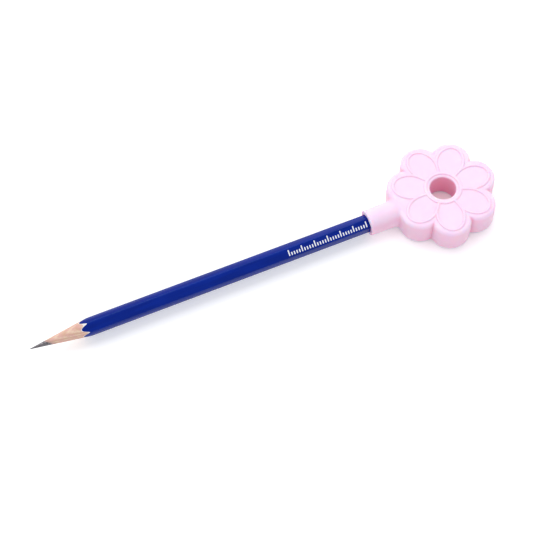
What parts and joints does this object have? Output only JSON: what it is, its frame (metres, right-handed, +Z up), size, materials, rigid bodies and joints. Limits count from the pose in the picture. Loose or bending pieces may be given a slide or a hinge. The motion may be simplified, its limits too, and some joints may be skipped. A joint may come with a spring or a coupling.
{
  "type": "chewable pencil topper",
  "caption": "Flower-shaped silicone chew topper with a round finger hole and a tubular neck; its hexagonal socket grips a sharpened wooden pencil, which pulls out.",
  "frame": {"origin": "centre of the round hole through the flower, halfway through its thickness", "axes": "+Z up along the hole, +X along the pencil's axis from its point towards the flower"},
  "size_m": [0.2127, 0.0474, 0.0128],
  "materials": {
    "pink_silicone": "matte",
    "blue_lacquer": "gloss",
    "pale_primer": "matte",
    "pencil_wood": "matte",
    "wood_glue": "matte",
    "graphite": "satin",
    "white_foil": "satin"
  },
  "bodies": {
    "topper": {"chew_topper": "pink_silicone"},
    "pencil": {"lacquer_coat": "blue_lacquer", "primer_coat": "pale_primer", "upper_slat": "pencil_wood", "lower_slat": "pencil_wood", "glue_line": "wood_glue", "graphite_core": "graphite", "foil_scale": "white_foil"}
  },
  "joints": [
    {"name": "pencil_pull", "type": "slide", "parent": "topper", "child": "pencil", "axis": [-1, 0, 0], "range_m": [0, 0.03]}
  ]
}
